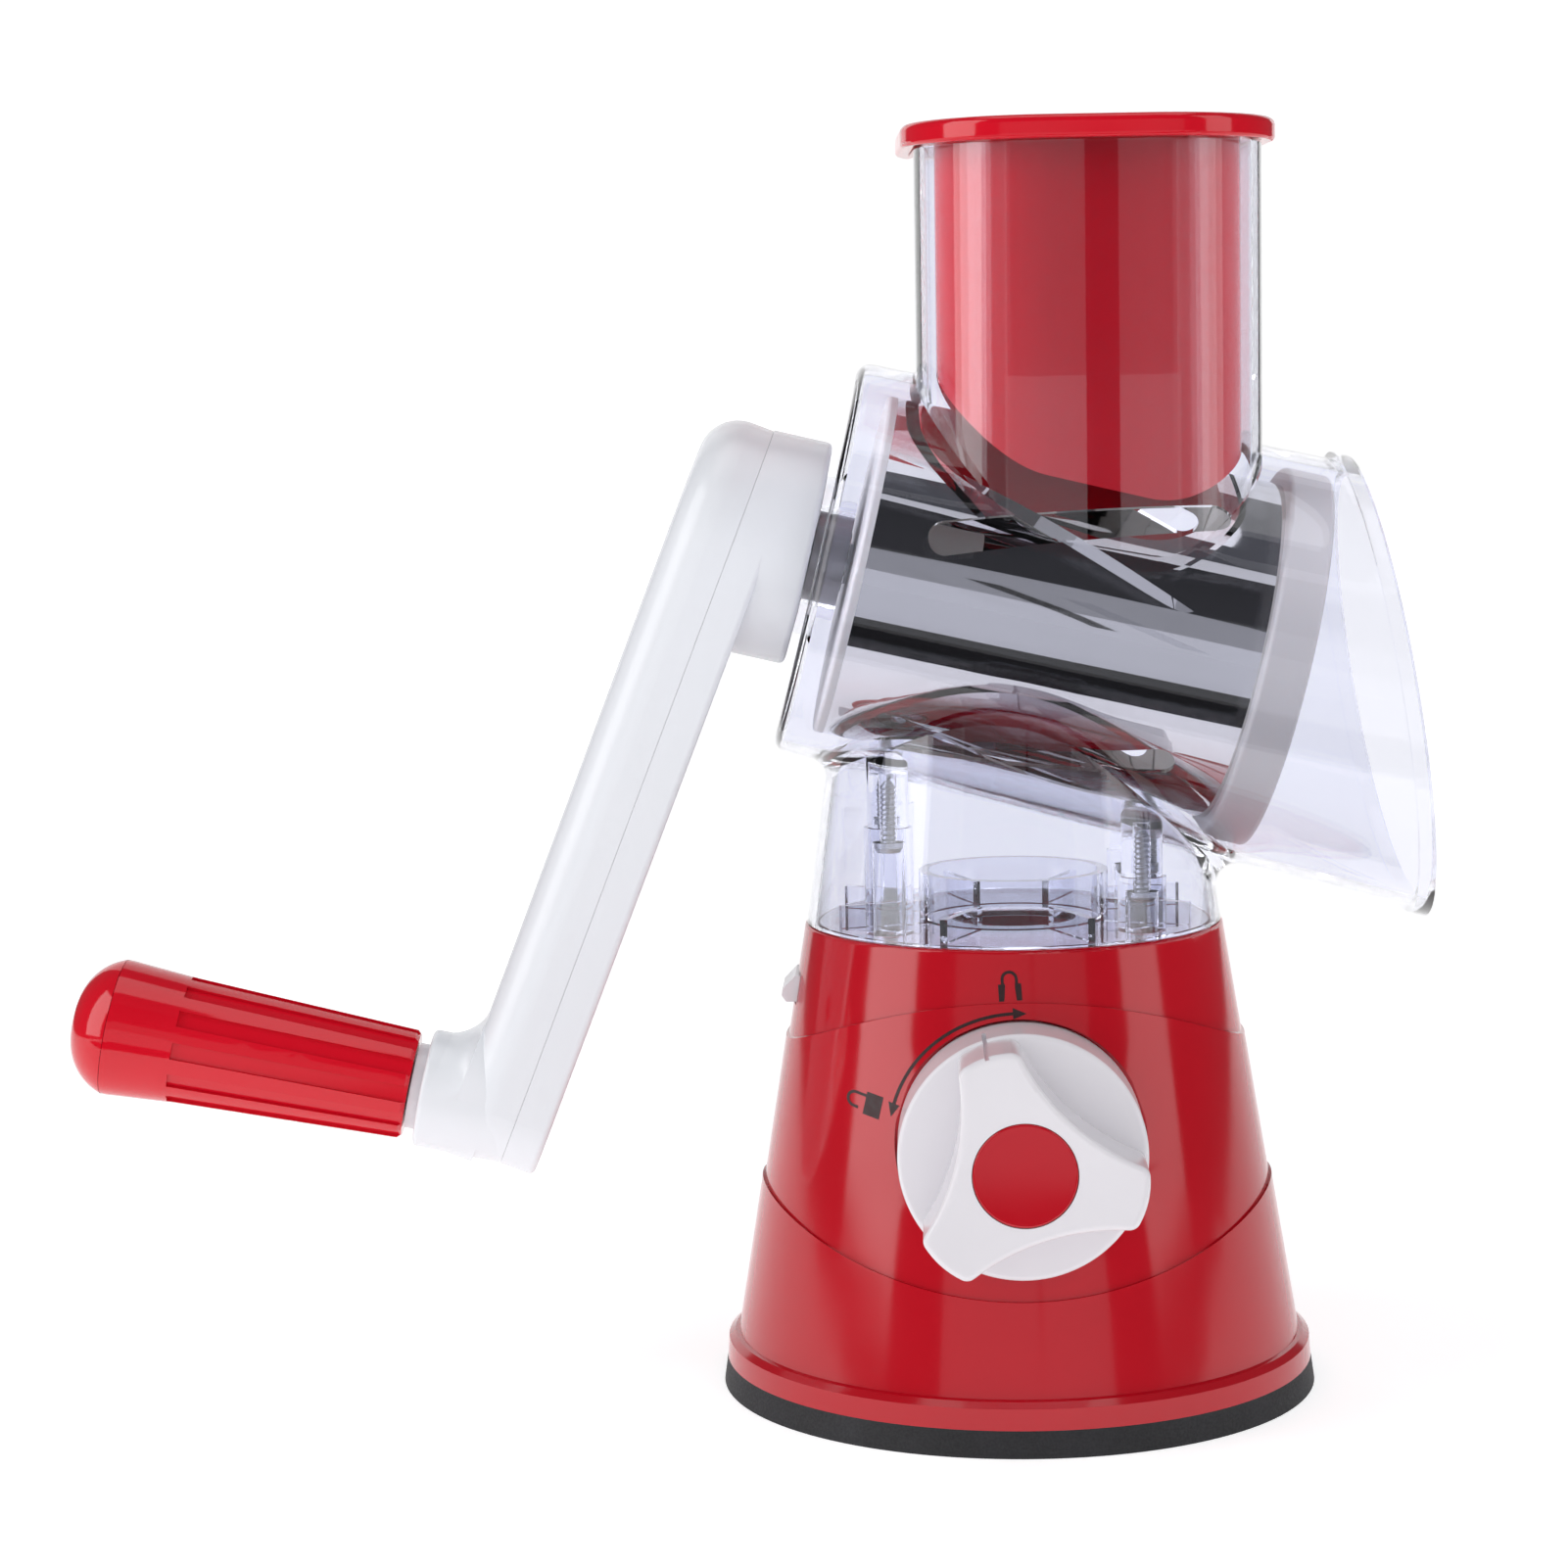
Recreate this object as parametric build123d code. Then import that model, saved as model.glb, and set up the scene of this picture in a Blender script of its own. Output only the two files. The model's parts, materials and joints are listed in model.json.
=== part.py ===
from build123d import *
import math
import os

# Rotary drum slicer with a suction base. Millimetres, +Z up. The origin is the centre of the
# base's resting face. +X points to the drum's open end, where the slices leave, -X to the crank,
# and -Y to the side of the suction knob.

# ---------------------------------------------------------------- driving sizes: base
foot_radius = 60.0
foot_top_radius = 59.25
foot_height = 5.2
foot_width = 6.0
bead_height = 5.4
bead_shoulder = 1.3
cone_foot_radius = 56.8
cone_rim_radius = 43.0
rim_height = 93.9
panel_step = 0.55
upper_arc_fall = 23.4
upper_arc_rise = 13.7
lower_arc_side = 42.5
lower_arc_drop = 14.0
base_wall = 2.5
tongue_width = 1.8
tongue_height = 3.8
tread_radius = 57.8
tread_width = 0.7
tread_depth = 0.5
web_height = 11.8
web_inner_radius = 38.0
ledge_width = 3.4
deck_thickness = 2.5
deck_drop = 1.9
deck_hole_radius = 16.0
deck_boss_height = 4.0
deck_pillar_height = 13.0
clamp_pillar_height = 11.0
screw_hole_spare = 1.5
pillar_wall = 2.2
boss_wall = 1.8
rim_round = 0.7
base_turn = -2.3

# driving sizes: suction cup and its clamp
cup_wall = 2.5
cup_wall_radius = 44.5
cup_lip_radius = 49.2
cup_lip_height = 0.7
cup_flange_radius = 52.7
cup_boss_radius = 9.0
cup_boss_top = 17.5
cup_crown = 4.5
clamp_ring_inner = 45.0
clamp_ring_thickness = 2.5
clamp_screw_circle = 49.8
clamp_screw_count = 6

# driving sizes: knob, cam and stem
knob_height = 57.0
knob_radius = 23.6
knob_front = 57.0
knob_back = 42.1
knob_pocket_gap = 0.6
star_rise = 15.0
star_radius = 22.8
star_waist = 13.0
star_half_angle = 15.0
star_turn = 17.3
star_corner = 2.2
star_bulge = 0.3
star_edge = 1.2
disc_edge = 1.0
socket_wall = 3.5
knob_web = 3.0
cap_radius = 9.75
cap_thickness = 2.2
cap_proud = 0.2
pointer_width = 0.8
pointer_depth = 1.0
shaft_radius = 5.0
knob_square = 7.0
cam_radius = 9.0
cam_throw = 3.6
cam_lead = 17.5
cam_width = 8.0
bearing_start = 18.0
bearing_length = 8.0
bearing_half = 9.0
stem_radius = 4.0
stem_disc_radius = 6.0
stem_disc_height = 2.5
stem_disc_bottom = 13.5
yoke_wall = 3.0

# driving sizes: release latch
latch_tip = 46.8
latch_width = 12.0
latch_fall = 15.4
latch_bar_height = 4.0
latch_tab_height = 5.3
latch_travel = 3.0
latch_tab_depth = 6.0
latch_opening_side = 1.0
latch_post_front = 32.7
latch_post_back = 30.0
latch_post_room = 1.0
spring_length = 8.0
spring_radius = 2.4
spring_wire = 0.7
spring_turns = 5
spring_end_gap = 0.15
guide_start = -37.0
guide_open_end = -29.0
guide_wall = 2.4
guide_side = 16.5

# driving sizes: drum axis, housing
axis_rise = 64.3
axis_tilt = 13.75
casing_back = -40.0
casing_back_radius = 39.45
casing_taper = 0.0208
clear_wall = 2.0
back_corner = 3.0
exit_reach = 76.8
exit_lean = 9.0
exit_bead_width = 3.0
exit_bead_rise = 1.3
hopper_centre = 14.97
hopper_width = 67.15
hopper_depth = 75.0
hopper_corner = 24.0
hopper_rise = 88.2
skirt_radius = 41.6
skirt_taper = 0.138
skirt_blend = 4.0
rest_gap = 0.3
bush_radius = 9.0
bush_back_proud = 1.0
bush_front = -34.0
wall_ring_radius = 16.0
bush_collar_wall = 3.0
boss_side = 24.6
boss_front = 20.0
upper_boss_radius = 4.0
lower_boss_radius = 4.7
crank_side_boss_drop = 42.9
exit_side_boss_drop = 53.2
plate_thickness = 2.0
collar_radius = 19.0
collar_height = 9.7
rib_thickness = 1.5
rib_height = 4.6
rib_count = 8
spigot_radius = 15.4
spigot_wall = 2.4
spigot_depth = 5.3
catch_face = 34.3
catch_thickness = 1.7
catch_lug = 1.3
boss_seat_depth = 3.0

# driving sizes: drum
drum_radius = 34.2
drum_sheet = 0.8
drum_back = -32.8
drum_disc = 2.0
drum_front = 47.0
ring_radius = 37.8
ring_width = 9.0
ring_sleeve = 9.0
sleeve_wall = 1.0
hub_radius = 11.5
hub_front = -8.0
slot_count = 4
slot_length = 60.0
slot_width = 6.6
slot_slant = 19.5
slot_middle = 8.0
slot_angle = 57.5
lip_rise = 1.2
lip_width = 2.5
lip_sink = 0.12
lip_sections = 6
hub_rim_depth = 6.0
hub_rim_wall = 1.6
spoke_thickness = 1.6
spoke_count = 6

# driving sizes: crank and grip
journal_radius = 6.0
drive_square = 8.0
drive_front = -10.0
hub_face = -41.3
crank_hub_radius = 22.5
seam_offset = -56.4
arm_lean = 7.9
crank_throw = 122.0
arm_end_radius = 12.2
inner_arm_depth = 7.1
outer_arm_depth = 12.6
arm_wall = 2.2
arm_edge = 8.0
hub_core_radius = 8.5
hub_square_depth = 12.0
hub_screw_seat = 1.0
hub_edge = 1.2
arm_screw_reaches = (29.6, 64.0, 96.0)
arm_screw_sink = 2.2
seam_gap = 0.06
grip_boss_radius = 11.95
grip_boss_rise = 7.57
boss_flare = 7.0
boss_sections = 6
boss_edge = 1.0
boss_root_rise = 0.67
grip_droop = 1.4
neck_radius = 8.7
neck_length = 2.2
pin_radius = 5.0
pin_length = 54.0
grip_start_radius = 11.1
grip_waist_length = 46.3
grip_waist_radius = 12.8
grip_belly_length = 60.0
grip_belly_radius = 13.8
grip_length = 68.8
cap_seam_length = 61.0
flute_count = 12
flute_width = 3.4
flute_depth = 0.8
flute_length = 47.5
grip_recess_radius = 8.0

# driving sizes: pusher
pusher_gap = 2.0
pusher_wall = 2.2
pusher_sole_radius = 42.5
flange_overhang = 2.6
flange_thickness = 4.4
flange_edge = 1.4
cover_thickness = 2.0
cover_ledge = 1.2

# clearances
fit_gap = 0.1
running_gap = 0.05
slide_gap = 0.3
free_gap = 0.6

# screws: thread radius, head radius, head height
small_screw = (1.5, 2.8, 2.0)
deck_screw = (1.5, 2.8, 1.4)
grip_screw_size = (1.5, 6.6, 1.8)
clamp_screw_length = 12.0
deck_screw_length = 12.0
bearing_screw_length = 8.0
guide_screw_length = 7.0
knob_screw_length = 14.0
housing_screw_length = 12.0
crank_screw_length = 13.0
shaft_screw_length = 14.0
grip_screw_length = 12.0
thread_pitch = 1.0
thread_depth = 0.3
recess_depth = 1.2
recess_width = 0.8

# ---------------------------------------------------------------- worked out from those above
bead_top = foot_height + bead_height
upper_arc_side = rim_height - upper_arc_fall
cone_slope = (cone_foot_radius - cone_rim_radius) / (rim_height - bead_top)
deck_top = rim_height - deck_drop
deck_bottom = deck_top - deck_thickness
boss_bottom = deck_bottom - deck_boss_height
latch_bar_bottom = rim_height - latch_fall
latch_tab_top = latch_bar_bottom + latch_tab_height
latch_post_top = deck_bottom - latch_post_room
plate_bottom = deck_top + rest_gap
plate_top = plate_bottom + plate_thickness
collar_top = plate_top + collar_height
spigot_bottom = plate_bottom - spigot_depth
skirt_bottom = rim_height + rest_gap
axis_height = rim_height + axis_rise
hopper_top = axis_height + hopper_rise
flange_bottom = hopper_top + rest_gap
flange_top = flange_bottom + flange_thickness
ring_front = drum_front + ring_width
arm_length = crank_throw / math.cos(math.radians(arm_lean))
seam_at_grip = seam_offset - crank_throw * math.tan(math.radians(arm_lean))
boss_root = seam_at_grip - boss_root_rise
grip_boss_end = seam_at_grip - outer_arm_depth - grip_boss_rise
grip_start = grip_boss_end - neck_length - slide_gap
pin_end = grip_start - pin_length
grip_waist = grip_start - grip_waist_length
grip_belly = grip_start - grip_belly_length
cap_seam = grip_start - cap_seam_length
grip_tip = grip_start - grip_length
flute_end = grip_start - flute_length
cam_rest_x = -cam_throw * math.cos(math.radians(cam_lead))
cam_rest_z = knob_height + cam_throw * math.sin(math.radians(cam_lead))
knob_face = knob_front + star_rise
yoke_half_height = cam_radius + slide_gap + 0.2
yoke_half_width = cam_radius + cam_throw + free_gap
tongue_radius = cone_foot_radius - 0.3
far = 300.0

# The drum's own frame: local z runs along the drum towards the exit, local x points up.
along = Vector(math.cos(math.radians(axis_tilt)), 0, -math.sin(math.radians(axis_tilt)))
upward = Vector(math.sin(math.radians(axis_tilt)), 0, math.cos(math.radians(axis_tilt)))
drum_frame = Plane(origin=(0, 0, axis_height), x_dir=upward, z_dir=along)

# The exit mouth's plane, square to the direction in which the mouth looks.
mouth_normal = (math.cos(math.radians(exit_lean)), 0, math.sin(math.radians(exit_lean)))
mouth_plane = Plane(
    origin=Vector(0, 0, axis_height) + along * exit_reach, x_dir=(0, 1, 0), z_dir=mouth_normal
)

# The crank arm's frame: local x runs down the arm, local z points away from the housing,
# and local z = 0 is the seam between the arm's two halves.
lean_cos = math.cos(math.radians(arm_lean))
lean_sin = math.sin(math.radians(arm_lean))
arm_frame = Plane(
    origin=Vector(0, 0, axis_height) + along * seam_offset,
    x_dir=upward * -lean_cos - along * lean_sin,
    z_dir=along * -lean_cos + upward * lean_sin,
)

# The grip's frame: it passes through the seam at the crank's throw, and droops a little from
# the drum's direction. Its local z counts from the same point as the drum's.
grip_tilt = axis_tilt - grip_droop
grip_along = Vector(math.cos(math.radians(grip_tilt)), 0, -math.sin(math.radians(grip_tilt)))
grip_upward = Vector(math.sin(math.radians(grip_tilt)), 0, math.cos(math.radians(grip_tilt)))
seam_point = Vector(0, 0, axis_height) - upward * crank_throw + along * seam_at_grip
grip_frame = Plane(origin=seam_point - grip_along * seam_at_grip, x_dir=grip_upward, z_dir=grip_along)

# The knob's frame: local z points out of the base towards -Y, local x to the right.
knob_frame = Plane(origin=(0, 0, knob_height), x_dir=(1, 0, 0), z_dir=(0, -1, 0))

# The base is drawn with its knob straight to -Y, and then turned a little about Z with everything
# that it holds and with the lock plate that sits in it.
base_frame = Rot(0, 0, base_turn)


# ---------------------------------------------------------------- shared shapes
def turned(points):
    """A solid of revolution about Z from a closed outline of (radius, height) points."""
    return revolve(Plane.XZ * make_face(Polyline(*points, close=True)), Axis.Z)


def rod(radius, start, end):
    """A cylinder about local Z between two heights."""
    low, high = min(start, end), max(start, end)
    return Pos(0, 0, low) * Cylinder(radius, high - low, align=(Align.CENTER, Align.CENTER, Align.MIN))


def tube(outer, inner, start, end):
    return rod(outer, start, end) - rod(inner, start, end)


def block(x_range, y_range, z_range):
    size = [b - a for a, b in (x_range, y_range, z_range)]
    middle = [(a + b) / 2 for a, b in (x_range, y_range, z_range)]
    return Pos(*middle) * Box(*size)


def bar(side, start, end):
    """A square bar about local Z."""
    return block((-side / 2, side / 2), (-side / 2, side / 2), (min(start, end), max(start, end)))


def rounded_plate(width, depth, corner, bottom, top, centre=hopper_centre):
    outline = Pos(centre, 0, bottom) * RectangleRounded(width, depth, corner)
    return extrude(outline, top - bottom)


def tapered_outline(big, small, length):
    """Two round ends joined by their outer tangents, from the origin along local X."""
    slant = math.asin((big - small) / length)
    c, s = math.cos(slant), math.sin(slant)
    corners = [(big * s, big * c), (length + small * s, small * c)]
    corners += [(x, -y) for x, y in reversed(corners)]
    return Circle(big) + Pos(length, 0) * Circle(small) + make_face(Polyline(*corners, close=True))


def screw(size, length):
    """A cross-head screw: the head's seat is z = 0, and the thread runs up to z = length."""
    radius, head_radius, head_height = size
    core = radius - thread_depth
    rings = int((length - thread_pitch) / thread_pitch)
    outline = [(0, -head_height), (head_radius * 0.8, -head_height)]
    outline += [(head_radius, -head_height * 0.5), (head_radius, 0), (core, 0)]
    for ring in range(rings):
        outline += [(core, ring * thread_pitch + 0.3), (radius, (ring + 0.5) * thread_pitch + 0.3)]
    outline += [(core, rings * thread_pitch + 0.3), (core * 0.6, length), (0, length)]
    body = turned(outline)
    for turn in (0, 90):
        slot = Rot(0, 0, turn) * Box(head_radius * 1.2, recess_width, 2 * recess_depth)
        body -= Pos(0, 0, -head_height) * slot
    return body


def screws(places, size, length):
    """Separate copies of one screw at a list of locations."""
    return Compound(children=[place * screw(size, length) for place in places])


def cut_holes(body, places, radius, start, end):
    for place in places:
        body -= place * rod(radius, start, end)
    return body


def ring_places(radius, count, height, first=0.0):
    step = 360 / count
    return [Rot(0, 0, first + step * i) * Pos(radius, 0, height) for i in range(count)]


# ---------------------------------------------------------------- base
def cone_radius(height, step=0):
    """Outer radius of the base's cone. Step 0 is the lowest panel, 2 the one at the rim."""
    return cone_foot_radius - cone_slope * (height - bead_top) - step * panel_step


def panel_cone(step):
    low = cone_radius(bead_top, step)
    high = cone_radius(rim_height, step)
    return turned([(0, bead_top), (low, bead_top), (high, rim_height), (0, rim_height)])


def above_arc(side_height, middle_height):
    """Everything above an arc drawn on the front and carried straight through the base."""
    reach = cone_radius(side_height)
    arc = ThreePointArc((-reach, side_height), (0, middle_height), (reach, side_height))
    frame = Polyline(
        (reach, side_height), (far, side_height), (far, far), (-far, far),
        (-far, side_height), (-reach, side_height),
    )
    return extrude(Plane.XZ * make_face(arc + frame), far, both=True)


clamp_places = ring_places(clamp_screw_circle, clamp_screw_count, 0, 30)
deck_screw_circle = cone_radius(rim_height, 2) - base_wall - ledge_width - 0.6
deck_places = ring_places(deck_screw_circle, 3, 0, 90)
bearing_screw_spread = 12.5
bearing_middle = bearing_start + bearing_length / 2
bearing_places = [Pos(side * bearing_screw_spread, bearing_middle, 0) for side in (-1, 1)]
guide_screw_x = -15.5
guide_screw_spread = 12.5
guide_places = [Pos(guide_screw_x, side * guide_screw_spread, 0) for side in (-1, 1)]
hanger_flange = 3.5
guide_flange = 2.5


def catch_slot():
    """The window in the deck and its ledge through which the housing's catch hangs."""
    half = latch_width / 2 + 2.0
    inner = -latch_post_back + latch_travel + 0.8
    outer = -catch_face - catch_thickness - 1.2
    return block((outer, inner), (-half, half), (boss_bottom - deck_boss_height, deck_top))


def base_shell():
    bead = turned([
        (0, foot_height), (foot_top_radius, foot_height),
        (foot_top_radius - 0.3, bead_top - bead_shoulder),
        (foot_top_radius - 0.3 - bead_shoulder, bead_top - 0.25),
        (cone_foot_radius, bead_top), (0, bead_top),
    ])
    above_lower = above_arc(lower_arc_side, lower_arc_side - lower_arc_drop)
    above_upper = above_arc(upper_arc_side, upper_arc_side + upper_arc_rise)
    cone = panel_cone(0) - (above_lower - panel_cone(1)) - (above_upper - panel_cone(2))
    shell = bead + cone
    rim_edges = shell.edges().group_by(Axis.Z)[-1]
    shell = fillet(rim_edges, rim_round)

    # hollow inside, with the ring that the cup hangs from and the ledge that carries the deck
    inner_low = cone_radius(foot_height, 2) - base_wall
    inner_high = cone_radius(rim_height, 2) - base_wall
    inside = turned([
        (0, foot_height), (inner_low, foot_height), (inner_high, rim_height), (0, rim_height),
    ])
    web = tube(foot_radius, web_inner_radius, web_height, web_height + base_wall)
    ledge = tube(foot_radius, inner_high - ledge_width, deck_bottom - base_wall, deck_bottom)
    hollow = inside - web - ledge
    for place in clamp_places:
        hollow -= place * rod(small_screw[0] + pillar_wall, web_height, web_height + clamp_pillar_height)
    pillar_bottom = deck_bottom - deck_pillar_height
    for place in deck_places:
        pillar = rod(small_screw[0] + pillar_wall, pillar_bottom, deck_bottom)
        rib = block((0, foot_radius), (-base_wall, base_wall), (pillar_bottom, deck_bottom))
        hollow -= place * (pillar + rib)

    # the round pocket behind the knob
    pocket_radius = knob_radius + knob_pocket_gap
    floor = knob_back - free_gap
    hollow -= knob_frame * rod(pocket_radius + base_wall, floor - base_wall, far)
    shell -= hollow
    shell -= knob_frame * rod(pocket_radius, floor, far)
    shell -= knob_frame * rod(shaft_radius + running_gap, 0, far)

    # groove for the foot's tongue, slot for the latch, screw holes
    groove_top = foot_height + tongue_height + 2 * fit_gap
    shell -= tube(tongue_radius + fit_gap, tongue_radius - tongue_width - fit_gap, foot_height, groove_top)
    half = latch_width / 2 + latch_opening_side + free_gap
    opening = (latch_bar_bottom - free_gap, latch_tab_top + free_gap)
    shell -= block((-far, -latch_post_back), (-half, half), opening)
    shell -= catch_slot()
    hole = small_screw[0] + running_gap
    clamp_hole_top = web_height + clamp_pillar_height - screw_hole_spare
    shell = cut_holes(shell, clamp_places, hole, 0, clamp_hole_top)
    return cut_holes(shell, deck_places, hole, pillar_bottom + screw_hole_spare, rim_height)


def rubber_foot():
    inner = foot_radius - foot_width
    foot = turned([(inner, 0), (foot_radius, 0), (foot_top_radius, foot_height), (inner, foot_height)])
    tongue_top = foot_height + tongue_height
    tongue = tube(tongue_radius, tongue_radius - tongue_width, foot_height, tongue_top)
    tread = tube(tread_radius, tread_radius - tread_width, 0, tread_depth)
    return foot + tongue - tread


def suction_cup():
    flange_low = web_height - cup_wall
    inner_wall = cup_wall_radius - cup_wall
    outline = [
        (0, cup_crown), (30, cup_crown - 1.0), (cup_wall_radius - 2, cup_lip_height + 0.4),
        (cup_lip_radius - 2, cup_lip_height), (cup_lip_radius, cup_lip_height), (cup_lip_radius, 1.7),
        (cup_wall_radius, 4.4), (cup_wall_radius, flange_low), (cup_flange_radius, flange_low),
        (cup_flange_radius, web_height), (inner_wall - 1.5, web_height), (inner_wall - 1.5, flange_low),
        (inner_wall, flange_low - 1.5), (inner_wall, 5.4), (30, 6.2), (cup_boss_radius + 3, 7.2),
        (cup_boss_radius, 10), (cup_boss_radius, cup_boss_top), (0, cup_boss_top),
    ]
    cup = turned(outline)
    pocket_bottom = stem_disc_bottom - slide_gap
    pocket_top = stem_disc_bottom + stem_disc_height + slide_gap
    cup -= rod(stem_disc_radius + slide_gap, pocket_bottom, pocket_top)
    cup -= rod(stem_radius + slide_gap, pocket_bottom, cup_boss_top)
    return cut_holes(cup, clamp_places, small_screw[0] + running_gap, flange_low, web_height)


def cup_clamp_ring():
    top = web_height - cup_wall
    ring = tube(cup_flange_radius, clamp_ring_inner, top - clamp_ring_thickness, top)
    ring = chamfer(ring.edges().group_by(Axis.Z)[0], 0.4)
    return cut_holes(ring, clamp_places, small_screw[0] + running_gap, 0, top)


def clamp_ring_screws():
    seat = web_height - cup_wall - clamp_ring_thickness
    return screws([place * Pos(0, 0, seat) for place in clamp_places], small_screw, clamp_screw_length)


def base_deck():
    radius = cone_radius(deck_top, 2) - base_wall - fit_gap
    deck = rod(radius, deck_bottom, deck_top)
    for place in bearing_places + guide_places:
        deck += place * rod(small_screw[0] + boss_wall, boss_bottom, deck_bottom)
    deck -= rod(deck_hole_radius, boss_bottom, deck_top)
    deck -= catch_slot()
    hole = small_screw[0] + running_gap
    deck = cut_holes(deck, bearing_places + guide_places, hole, boss_bottom, deck_top - 1.0)
    sink = deck_screw[1] + fit_gap
    deck = cut_holes(deck, deck_places, hole, deck_bottom, deck_top)
    return cut_holes(deck, deck_places, sink, deck_top - deck_screw[2], deck_top)


def deck_screws():
    seat = deck_top - deck_screw[2]
    places = [place * Pos(0, 0, seat) * Rot(180, 0, 0) for place in deck_places]
    return screws(places, deck_screw, deck_screw_length)


def cam_bearing_block():
    """Hangs from the deck and carries the inner end of the cam shaft."""
    half = bearing_half
    y_range = (bearing_start, bearing_start + bearing_length)
    hanger = block((-half, half), y_range, (knob_height - half, boss_bottom))
    side = bearing_screw_spread + bearing_length / 2
    flange = block((-side, side), y_range, (boss_bottom - hanger_flange, boss_bottom))
    body = fillet(hanger.edges().filter_by(Axis.Y).group_by(Axis.Z)[0], shaft_radius) + flange
    body -= knob_frame * rod(shaft_radius + running_gap, -far, 0)
    return cut_holes(body, bearing_places, small_screw[0] + running_gap, 0, boss_bottom)


def bearing_screws():
    seat = boss_bottom - hanger_flange
    return screws([place * Pos(0, 0, seat) for place in bearing_places], small_screw, bearing_screw_length)


def latch_guide():
    """Channel under the latch with the wall that its spring pushes against."""
    inner = latch_width / 2 + 0.4
    outer = inner + guide_wall
    wall = -latch_post_back + spring_length
    floor_top = latch_bar_bottom - 0.5
    bar_top = latch_bar_bottom + latch_bar_height
    guide = block((guide_start, wall + guide_flange), (-outer, outer), (floor_top - 2, boss_bottom))
    guide -= block((guide_start, wall), (-inner, inner), (floor_top, boss_bottom))
    guide -= block((guide_start, guide_open_end), (-outer, outer), (bar_top, boss_bottom))
    flange_end = guide_screw_x + guide_side - guide_screw_spread
    guide += block((wall, flange_end), (-guide_side, guide_side), (boss_bottom - guide_flange, boss_bottom))
    return cut_holes(guide, guide_places, small_screw[0] + running_gap, 0, boss_bottom)


def guide_screws():
    seat = boss_bottom - guide_flange
    return screws([place * Pos(0, 0, seat) for place in guide_places], small_screw, guide_screw_length)


def latch_spring():
    """Compression spring along X between the latch's post and the guide's wall."""
    wire = spring_wire / 2
    length = spring_length - 2 * spring_end_gap - spring_wire
    path = Helix(length / spring_turns, length, spring_radius)
    start = Plane(origin=path @ 0, z_dir=path % 0)
    coil = sweep(start * Circle(wire), path)
    middle = latch_bar_bottom + spring_radius
    return Pos(-latch_post_back + spring_end_gap + wire, 0, middle) * Rot(0, 90, 0) * coil


# ---------------------------------------------------------------- knob and lift
def star_outline():
    """Three lobes with short round tips, joined by hollow sides."""
    edges = []
    for lobe in range(3):
        middle = 90 + star_turn + 120 * lobe
        tip = [middle - star_half_angle, middle, middle + star_half_angle]
        bulge = [star_radius, star_radius + star_bulge, star_radius]
        points = [Vector(r, 0).rotate(Axis.Z, a) for r, a in zip(bulge, tip)]
        next_corner = Vector(star_radius, 0).rotate(Axis.Z, middle + 120 - star_half_angle)
        waist = Vector(star_waist, 0).rotate(Axis.Z, middle + 60)
        edges += [ThreePointArc(*points), ThreePointArc(points[2], waist, next_corner)]
    face = make_face(Curve() + edges)
    return fillet(face.vertices(), star_corner)


def suction_knob():
    disc = rod(knob_radius, knob_back, knob_front)
    disc = fillet(disc.edges().group_by(Axis.Z)[-1], disc_edge)
    star = Pos(0, 0, knob_front - disc_edge) * extrude(star_outline(), star_rise + disc_edge)
    star = fillet(star.edges().group_by(Axis.Z)[-1], star_edge)
    knob = disc + star
    knob -= rod(cap_radius + fit_gap, knob_face - cap_thickness, knob_face)
    knob -= rod(small_screw[1] + 1.2, knob_front, knob_face)
    knob -= tube(knob_radius - base_wall, shaft_radius + socket_wall, knob_back, knob_front - knob_web)
    knob -= bar(knob_square + fit_gap, knob_back, knob_front - knob_web)
    knob -= rod(small_screw[0] + 2 * fit_gap, knob_back, knob_face)
    pointer = Rot(0, 0, 90 + star_turn) * Pos(star_radius + star_bulge, 0, knob_front + star_rise / 2)
    knob -= pointer * Box(pointer_depth, pointer_width, 2 * star_rise)
    return knob_frame * knob


def knob_cap():
    cap = rod(cap_radius, knob_face - cap_thickness + fit_gap, knob_face + cap_proud)
    cap = fillet(cap.edges().group_by(Axis.Z)[-1], 0.5)
    return knob_frame * cap


def knob_screw():
    place = knob_frame * Pos(0, 0, knob_front) * Rot(180, 0, 0)
    return screws([place], small_screw, knob_screw_length)


def cam_shaft():
    inner_end = -(bearing_start + bearing_length)
    shaft = rod(shaft_radius, inner_end, knob_back - free_gap)
    shaft += bar(knob_square, knob_back - free_gap, knob_front - knob_web - fit_gap)
    shaft += Pos(cam_rest_x, cam_rest_z - knob_height) * rod(cam_radius, -cam_width / 2, cam_width / 2)
    screw_bottom = knob_front - knob_screw_length - screw_hole_spare
    shaft -= rod(small_screw[0] + running_gap, screw_bottom, knob_front)
    return knob_frame * shaft


def lift_stem():
    """Yoke round the cam, with the stem whose disc the cup holds."""
    depth = cam_width / 2 - 0.5
    outer_w = yoke_half_width + yoke_wall
    outer_h = yoke_half_height + yoke_wall
    z_range = (cam_rest_z - outer_h, cam_rest_z + outer_h)
    yoke = block((-outer_w, outer_w), (-depth, depth), z_range)
    yoke = fillet(yoke.edges().filter_by(Axis.Y), yoke_wall)
    slot_z = (cam_rest_z - yoke_half_height, cam_rest_z + yoke_half_height)
    yoke -= block((-yoke_half_width, yoke_half_width), (-depth, depth), slot_z)
    stem = rod(stem_radius, stem_disc_bottom, cam_rest_z - yoke_half_height - 1)
    disc = rod(stem_disc_radius, stem_disc_bottom, stem_disc_bottom + stem_disc_height)
    return yoke + stem + disc


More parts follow.
